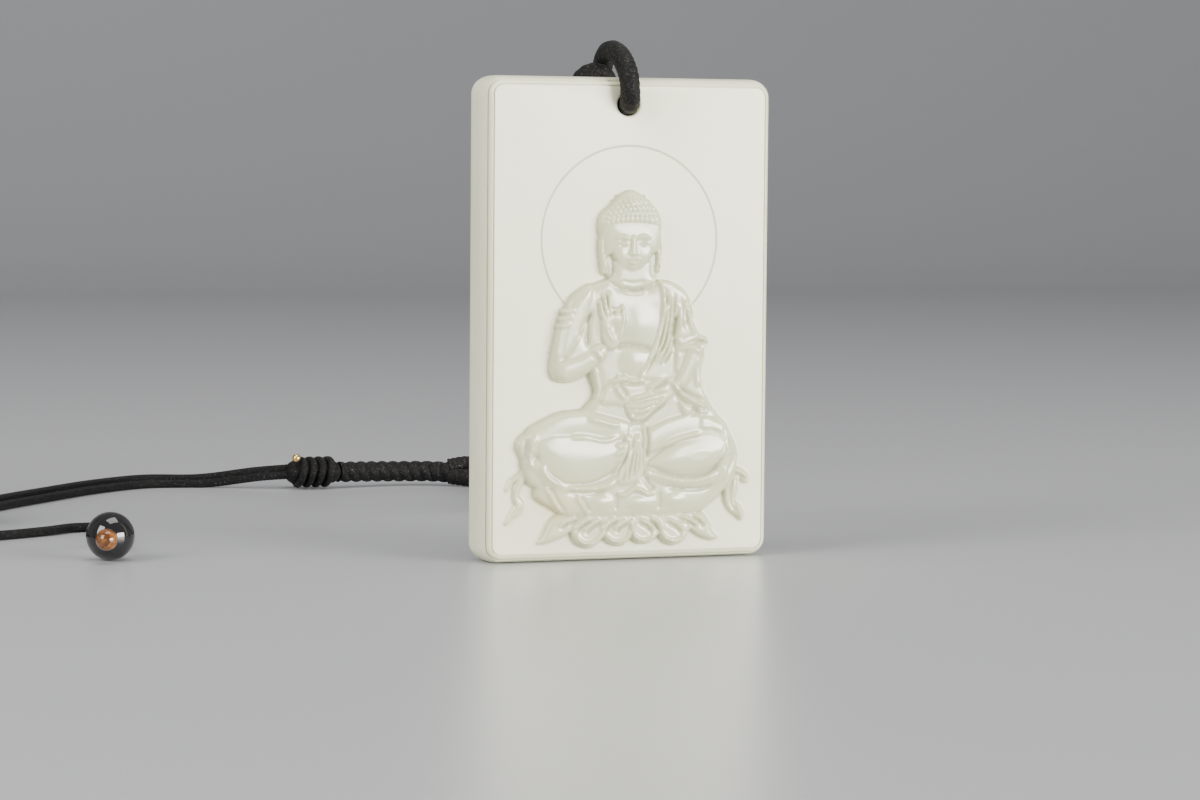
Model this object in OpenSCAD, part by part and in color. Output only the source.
// Carved jade pendant plaque on its braided cord.
// The plaque stands on its bottom edge with its carved face towards -Y, and its cord lies behind it on the
// same surface: over the top edge, down to a gathering knot, and on as two thin neck cords.
// Origin: the middle of the plaque's bottom edge, at half of its depth with the carving. +Z is up.

/* [Plaque] */
// Width of the plaque
plaque_w = 38; // [37:0.5:39]
// Height of the plaque
plaque_h = 60; // [59:0.5:61]
// Thickness of the flat slab, without its carving
slab_t = 7.6; // [7.4:0.1:7.8]
// Rounding of the slab's four corners, seen from the front
corner_r = 2.4; // [2:0.1:3]
// Rounding of the slab's long edges, seen from the side
edge_r = 2; // [1.5:0.1:2.2]
// Height of the carving above the field
carving_h = 1.8; // [1.6:0.1:1.8]

/* [Cord hole] */
// Radius of the hole that the cord passes through
hole_r = 1.5; // [1.45:0.05:1.6]
// Place of the hole across the plaque, from its middle
hole_x = -0.4; // [-0.4:0.1:-0.3]
// Height of the hole above the bottom edge
hole_z = 56.6; // [56.5:0.1:56.7]
// Width of the chamfer at each mouth of the hole
hole_chamfer = 0.5; // [0.3:0.1:0.6]

/* [Halo] */
// Radius of the halo line round the head
halo_r = 11.6; // [11:0.1:12]
// Height of the halo's centre
halo_z = 39.9; // [39:0.1:41]
// Width of the halo line
halo_w = 0.35; // [0.2:0.05:0.5]
// Depth of the halo line
halo_depth = 0.3; // [0.2:0.05:0.4]

/* [Cord] */
// Diameter of the hanging cord
hanging_d = 2.5; // [2.3:0.1:2.5]
// Diameter of the run of snake knots round the ends of the hanging cord
snake_d = 3.2; // [3:0.1:3.3]
// Diameter of each neck cord
neck_d = 1.3; // [1.2:0.05:1.3]
// Radius of the inner winding of the stored coil
coil_inner_r = 6.9; // [6.9:0.1:7]
// Turns in the stored coil
coil_turns = 5; // [5:1:5]

/* [Beads] */
// Diameter of the two black beads
onyx_d = 6; // [5.8:0.1:6]
// Diameter of the two brown end beads
end_bead_d = 2.7; // [2.5:0.1:2.8]
// Diameter of the gold bead on the gathering knot
gold_d = 1.3; // [1.1:0.1:1.4]

/* [Adjuster] */
// Length of the sliding knot
adjuster_l = 8; // [7:0.5:8.5]
// Distance between the two cords in the sliding knot
adjuster_gap = 1.8; // [1.7:0.1:2]

/* [Hidden] */

$fn = 48;
cord_sides = 8;
jade_green = [0.86, 0.89, 0.78];
cord_black = [0.07, 0.07, 0.08];
joint_gap = 0.1;

// The slab's faces: the carving stands carving_h in front of the field, and the two together are centred on y = 0.
slab_back = (slab_t + carving_h) / 2;
field_y = slab_back - slab_t;
front_y = field_y - carving_h;

// ---- Jade plaque ----------------------------------------------------------------------------------------

// A rectangle with round corners, centred on the origin.
module round_rect(w, h, r) {
    square([w - 2 * r, h], center = true);
    square([w, h - 2 * r], center = true);
    for (x = [-1, 1], y = [-1, 1]) translate([x * (w / 2 - r), y * (h / 2 - r)]) circle(r = r);
}

// The slab: its outline is rounded from the front, from the side and from above.
module slab() {
    mid_y = field_y + slab_t / 2;
    translate([0, mid_y, plaque_h / 2]) intersection() {
        rotate([90, 0, 0]) linear_extrude(slab_t, center = true) round_rect(plaque_w, plaque_h, corner_r);
        rotate([90, 0, 90]) linear_extrude(plaque_w, center = true) round_rect(slab_t, plaque_h, edge_r);
        linear_extrude(plaque_h, center = true) round_rect(plaque_w, slab_t, edge_r);
    }
}

// The carving rises from the field in flat tiers. At a tier, a form that is r wide at the field and h high has
// narrowed as the cap of a ball does, and it is gone above its own height.
function tier_r(r, h, level) = level < h ? r * sqrt(1 - pow(level / h, 2)) : 0;

// A round form at one tier: the middle of it is at x, z.
module swelling(x, z, r, h, level) {
    if (level < h) translate([x, z]) circle(r = tier_r(r, h, level));
}

// A long form at one tier, such as an arm, from one point to another.
module limb(x1, z1, x2, z2, r, h, level) {
    long = norm([x2 - x1, z2 - z1]);
    if (level < h) translate([x1, z1]) rotate(atan2(z2 - z1, x2 - x1)) {
        translate([0, -tier_r(r, h, level)]) square([long, 2 * tier_r(r, h, level)]);
        for (x = [0, long]) translate([x, 0]) circle(r = tier_r(r, h, level));
    }
}

// The seated figure at one tier: head, neck, shoulders, body, arms and crossed legs.
module seated_figure(level) {
    swelling(-0.2, 41.2, 4, 1.4, level);
    swelling(-0.2, 39.4, 3.6, 1.5, level);
    limb(-0.3, 33.5, -0.3, 36, 2.1, 0.8, level);
    limb(-4.4, 30.6, 4.2, 30.6, 4, 1.2, level);
    limb(-0.4, 20.5, -0.4, 27, 4.6, 1.3, level);
    limb(-7.4, 30.4, -8.5, 25, 2.1, 1.4, level);
    limb(-8.4, 24.8, -4, 27.8, 2, 1.5, level);
    limb(7.3, 30, 7.4, 22.6, 2, 1.2, level);
    limb(8, 20, 1, 18.4, 1.8, 1.3, level);
    limb(-9.3, 13.6, -5.6, 13.4, 4.7, carving_h, level);
    limb(9, 13.4, 5.8, 13, 4.6, carving_h, level);
    swelling(0, 10, 3.2, 1, level);
}

// The seat at one tier: a drum of cushion above a row of lotus petals.
module lotus_seat(level) {
    petal_pitch = 4.6;
    petal_count = 4;
    limb(-7, 7.4, 7, 7.4, 1.9, 1.3, level);
    for (i = [0 : petal_count - 1])
        swelling((i - (petal_count - 1) / 2) * petal_pitch, 4, 1.9, 1.1, level);
    for (side = [-1, 1]) limb(side * 8.6, 4.3, side * 10.6, 3.4, 0.8, 0.6, level);
}

// The whole carving: each tier is a plate, and its foot is sunk a little into the slab or the tier behind.
module carving() {
    tier_count = 4;
    tier_h = carving_h / tier_count;
    sunk = 0.3;
    for (i = [0 : tier_count - 1])
        translate([0, field_y - i * tier_h + sunk, 0]) rotate([90, 0, 0]) linear_extrude(tier_h + sunk) {
            seated_figure(i * tier_h);
            lotus_seat(i * tier_h);
        }
}

// The halo: a thin line cut into the field, open where the shoulders stand in front of it.
module halo_line() {
    shoulder_z = 32;
    difference() {
        translate([0, field_y + halo_depth, halo_z]) rotate([90, 0, 0]) difference() {
            cylinder(r = halo_r + halo_w / 2, h = carving_h, $fn = 96);
            translate([0, 0, -1]) cylinder(r = halo_r - halo_w / 2, h = carving_h + 2, $fn = 96);
        }
        translate([-plaque_w / 2, front_y - 1, shoulder_z - plaque_h]) cube([plaque_w, slab_t, plaque_h]);
    }
}

// The hole for the cord, straight through, with a chamfered mouth at each face.
module cord_hole() {
    translate([hole_x, slab_back + 1, hole_z]) rotate([90, 0, 0]) cylinder(r = hole_r, h = slab_t + 2);
    for (face = [[field_y, -90], [slab_back, 90]])
        translate([hole_x, face[0], hole_z]) rotate([face[1], 0, 0]) translate([0, 0, -hole_chamfer])
            mouth();
}

// One mouth of the hole, which widens from the bore to the face and a little past it.
module mouth() {
    past = 0.2;
    rotate_extrude() polygon([[0, 0], [hole_r, 0], [hole_r + hole_chamfer + past, hole_chamfer + past],
                              [0, hole_chamfer + past]]);
}

module jade_plaque() {
    color(jade_green) difference() {
        union() {
            slab();
            carving();
        }
        halo_line();
        cord_hole();
    }
}

// ---- Cord -----------------------------------------------------------------------------------------------

// Route of the hanging cord: from the snake knots along the surface, up behind the plaque, over its top edge,
// back through the hole and down again to the snake knots.
hanging_route = [
    [11, 102.5, 2.9], [14.2, 101.8, 3.3], [17.8, 96.5, 2.6], [19, 86, 1.3], [17, 70, 2], [14, 52, 7],
    [10.6, 38, 16], [6.6, 26, 30], [3.4, 17, 45], [1.4, 12, 54.5], [0.6, 9.6, 59.2], [0.4, 8.6, 61.5],
    [-0.1, 6.1, 63], [-0.5, 2.8, 63.4], [-0.8, -0.4, 62.8], [-0.9, -2.7, 61.4], [-0.9, -4.1, 59.7],
    [-0.8, -4.4, 58], [-0.6, -3.8, 57], [-0.4, -2.9, 56.7], [-0.4, -1.9, 56.6], [-0.4, 4.4, 56.6],
    [-0.2, 5.7, 57], [0.2, 6.2, 58.2], [0.3, 6.3, 59.5], [-0.4, 6.3, 60.4], [-1.6, 6.4, 60.7],
    [-2.8, 6.6, 60.1], [-3.5, 7, 58.7], [-3.7, 8, 56.4], [-3.2, 11, 49.5], [-1.2, 16.4, 36], [2, 24.6, 21.5],
    [6, 39, 9], [10, 57, 2.3], [13.4, 76, 1.3], [15.6, 92, 1.3], [14.9, 98.4, 1.3], [13.5, 100.5, 1.3],
    [11, 102.1, 1.6]];

// Route of the run of snake knots, from the gathering knot to the hanging cord.
snake_route = [[-6.2, 104, 2.4], [-1, 104.8, 2.3], [4, 105, 2.2], [8, 104, 2.2], [11.2, 102.3, 2.1]];

// Routes of the two neck cords, from the gathering knot to the stored coil.
neck_route_a = [
    [-13.6, 104.4, 3.1], [-18.4, 106.6, 2.6], [-26.2, 110.4, 1.4], [-34.4, 111.6, 1.4], [-43.6, 105.3, 1.4],
    [-53.3, 94.6, 1.4], [-62.8, 83, 1.4], [-68.6, 74.7, 1.2], [-71.6, 69, 0.65], [-72.1, 64, 0.65]];
neck_route_b = [
    [-13.6, 103.6, 2.2], [-18, 105.5, 1.8], [-25.5, 109.3, 0.65], [-33.8, 110.6, 0.65], [-42.9, 104.4, 0.65],
    [-52.6, 93.7, 0.65], [-62.1, 82.1, 0.65], [-67.9, 73.8, 0.65], [-70.4, 69, 0.65], [-70.8, 64, 0.65]];

// Routes of the same two cords from the coil, through the sliding knot, to the beads on their tails.
tail_route_a = [
    [-79, 57.1, 7.5], [-84, 56.9, 8], [-90, 55, 5.6], [-96, 50, 1.9], [-100, 44.4, 0.7], [-99, 40, 1],
    [-95.5, 38.9, 1.75], [-79, 38.9, 1.75], [-76, 39.2, 1], [-70, 42.4, 0.65], [-63, 46.2, 0.65],
    [-58.6, 49.5, 0.65], [-55.2, 49.2, 0.65], [-54.3, 45.5, 0.65], [-55.4, 36, 0.65], [-57.2, 28.5, 0.9],
    [-58.8, 23.6, 2.1], [-60, 19.5, 3], [-61.3, 15.6, 3], [-62.6, 11.7, 3]];
tail_route_b = [
    [-70.8, 64, 7.15], [-70.8, 60, 6.6], [-71, 52, 3.6], [-72.2, 43, 2.5], [-75, 38.9, 2.3],
    [-78, 37.3, 1.9], [-80, 37.1, 1.75], [-95.5, 37.1, 1.75], [-98.5, 36.3, 1], [-102, 32.6, 0.65],
    [-103, 27.6, 0.9], [-102, 23.6, 2.1], [-100.8, 19.9, 3], [-99.5, 16, 3], [-98.2, 12.1, 3]];

function unit(v) = v / norm(v);
function heading(route, i) = unit(route[min(i + 1, len(route) - 1)] - route[max(i - 1, 0)]);
function square_to(v, along) = unit(v - (v * along) * along);

// One side direction for each point of a route, carried along so that the tube doesn't twist.
function sides_of(route, i, before) =
    i == len(route) ? [] :
    let(side = square_to(before, heading(route, i))) concat([side], sides_of(route, i + 1, side));

// A tube of cord, as one closed polyhedron with a ring at each point of the route.
module cord_tube(route, diameter, first_side) {
    sides = sides_of(route, 0, first_side);
    last = (len(route) - 1) * cord_sides;
    rings = [for (i = [0 : len(route) - 1], k = [0 : cord_sides - 1])
        let(along = heading(route, i), across = cross(along, sides[i]), turn = (k + 0.5) * 360 / cord_sides)
        route[i] + diameter / 2 * (cos(turn) * sides[i] + sin(turn) * across)];
    walls = [for (i = [0 : len(route) - 2], k = [0 : cord_sides - 1], half = [0, 1])
        let(a = i * cord_sides + k, b = i * cord_sides + (k + 1) % cord_sides)
        half == 0 ? [b, a, a + cord_sides] : [b, a + cord_sides, b + cord_sides]];
    ends = [[for (k = [0 : cord_sides - 1]) k], [for (k = [cord_sides - 1 : -1 : 0]) last + k]];
    color(cord_black) polyhedron(points = rings, faces = concat(walls, ends), convexity = 6);
}

module hanging_cord() { cord_tube(hanging_route, hanging_d, [0, 0, 1]); }
module snake_knots() { cord_tube(snake_route, snake_d, [0, 0, 1]); }
module neck_cord_a() { cord_tube(neck_route_a, neck_d, [0, 0, 1]); }
module neck_cord_b() { cord_tube(neck_route_b, neck_d, [0, 0, 1]); }
module tail_cord_a() { cord_tube(tail_route_a, neck_d, [0, 0, 1]); }
module tail_cord_b() { cord_tube(tail_route_b, neck_d, [0, 0, 1]); }

// The stored length of both neck cords: the outer shape of a round coil, two cords wide.
module cord_coil() {
    coil_x = -79;
    coil_y = 64;
    coil_h = (coil_turns + 1.25) * neck_d;
    color(cord_black) translate([coil_x, coil_y, 0]) rotate_extrude()
        translate([coil_inner_r - neck_d / 2, 0]) square([2 * neck_d, coil_h]);
}

// ---- Knots ----------------------------------------------------------------------------------------------

knot_z = 2.5;
knot_y = 104;
knot_x = -14.2;
knot_l = 8;
bundle_r = 1.4;
bundle_gap = 2;
wrap_d = 1;

// The outline of two cords side by side, r thick all round, across X.
module pair_outline(gap, r) {
    square([gap, 2 * r], center = true);
    for (side = [-1, 1]) translate([side * gap / 2, 0]) circle(r = r);
}

// Places a flat outline across X, so that its first axis runs along Y.
module across_x(x, y, z, long) {
    translate([x, y, z]) rotate([90, 0, 90]) linear_extrude(long) children();
}

// The gathering knot: the core of cord ends that the wrapping draws together.
module gather_knot() {
    color(cord_black) across_x(knot_x, knot_y, knot_z, knot_l) pair_outline(bundle_gap, bundle_r);
}

// The thin cord wrapped four times round the gathering knot.
module binding_wraps() {
    wrap_count = 4;
    wrap_pitch = 2;
    color(cord_black) for (i = [0 : wrap_count - 1])
        across_x(knot_x + 0.5 + i * wrap_pitch, knot_y, knot_z, wrap_d) difference() {
            pair_outline(bundle_gap, bundle_r + wrap_d);
            pair_outline(bundle_gap, bundle_r);
        }
}

// The gold bead on the end of the wrapping, drilled for its thread.
module gold_bead() {
    thread_r = 0.25;
    color([0.83, 0.62, 0.25]) translate([-13.3, 102, 4.8]) difference() {
        sphere(d = gold_d);
        translate([0, 0, -gold_d]) cylinder(r = thread_r, h = 2 * gold_d, $fn = 24);
    }
}

adjuster_x = -87;
adjuster_y = 38;
adjuster_z = 1.75;

// The sliding knot: a ribbed sleeve of knotted cord with a passage for each neck cord.
module adjuster_knot() {
    passage_r = neck_d / 2 + joint_gap;
    body_r = 1.6;
    rib_r = adjuster_z;
    rib_count = 5;
    rib_pitch = adjuster_l / rib_count;
    left = adjuster_x - adjuster_l / 2;
    color(cord_black) difference() {
        union() {
            across_x(left, adjuster_y, adjuster_z, adjuster_l) pair_outline(adjuster_gap, body_r);
            for (i = [0 : rib_count - 1])
                across_x(left + (i + 0.2) * rib_pitch, adjuster_y, adjuster_z, 0.6 * rib_pitch)
                    pair_outline(adjuster_gap, rib_r);
        }
        for (side = [-1, 1])
            translate([left - 1, adjuster_y + side * adjuster_gap / 2, adjuster_z]) rotate([0, 90, 0])
                cylinder(r = passage_r, h = adjuster_l + 2, $fn = 32);
    }
}

// ---- Beads ----------------------------------------------------------------------------------------------

bead_z = 3;
bead_a = [-61.3, 15.6, bead_z];
bead_b = [-99.5, 16, bead_z];
// Angle from +Y at which each tail comes forward through its beads
tail_turn_a = atan2(1, 3);
tail_turn_b = -atan2(1, 3);
end_offset = onyx_d / 2 + end_bead_d / 2 + 0.05;

// Stands children on a tail's line, which runs through a bead's centre towards the front; +Z is forwards.
module on_tail(centre, turn) {
    translate(centre) rotate([0, 0, -turn]) rotate([90, 0, 0]) children();
}

// A ball drilled right through for the cord.
module drilled_ball(d, bore_r) {
    difference() {
        sphere(d = d, $fn = 64);
        translate([0, 0, -d]) cylinder(r = bore_r, h = 2 * d, $fn = 32);
    }
}

// A knot in the cord that stops the black bead from running back.
module stop_knot(centre, turn) {
    knot_r = 1.1;
    half = onyx_d / 2;
    color(cord_black) on_tail(centre, turn) translate([0, 0, -half - 0.9]) rotate_extrude()
        translate([neck_d / 2 - 0.05, -0.6]) {
            translate([0, 0.15]) square([knot_r - neck_d / 2 + 0.05, 0.9]);
            square([knot_r - neck_d / 2 - 0.1, 1.2]);
        }
}

// The black bead, free to turn on the cord.
module onyx_bead(centre, turn) {
    color([0.02, 0.02, 0.02]) on_tail(centre, turn) drilled_ball(onyx_d, neck_d / 2 + joint_gap);
}

// The brown end bead, with a blind hole at the back that the cord's end is glued into.
module end_bead(centre, turn) {
    color([0.55, 0.32, 0.12]) on_tail(centre, turn) translate([0, 0, end_offset]) difference() {
        sphere(d = end_bead_d);
        translate([0, 0, -end_bead_d]) cylinder(r = neck_d / 2, h = end_bead_d, $fn = 32);
    }
}

module stop_knot_a() { stop_knot(bead_a, tail_turn_a); }
module onyx_bead_a() { onyx_bead(bead_a, tail_turn_a); }
module end_bead_a() { end_bead(bead_a, tail_turn_a); }
module stop_knot_b() { stop_knot(bead_b, tail_turn_b); }
module onyx_bead_b() { onyx_bead(bead_b, tail_turn_b); }
module end_bead_b() { end_bead(bead_b, tail_turn_b); }

jade_plaque();
hanging_cord();
snake_knots();
gather_knot();
binding_wraps();
gold_bead();
neck_cord_a();
neck_cord_b();
cord_coil();
tail_cord_a();
tail_cord_b();
adjuster_knot();
stop_knot_a();
onyx_bead_a();
end_bead_a();
stop_knot_b();
onyx_bead_b();
end_bead_b();
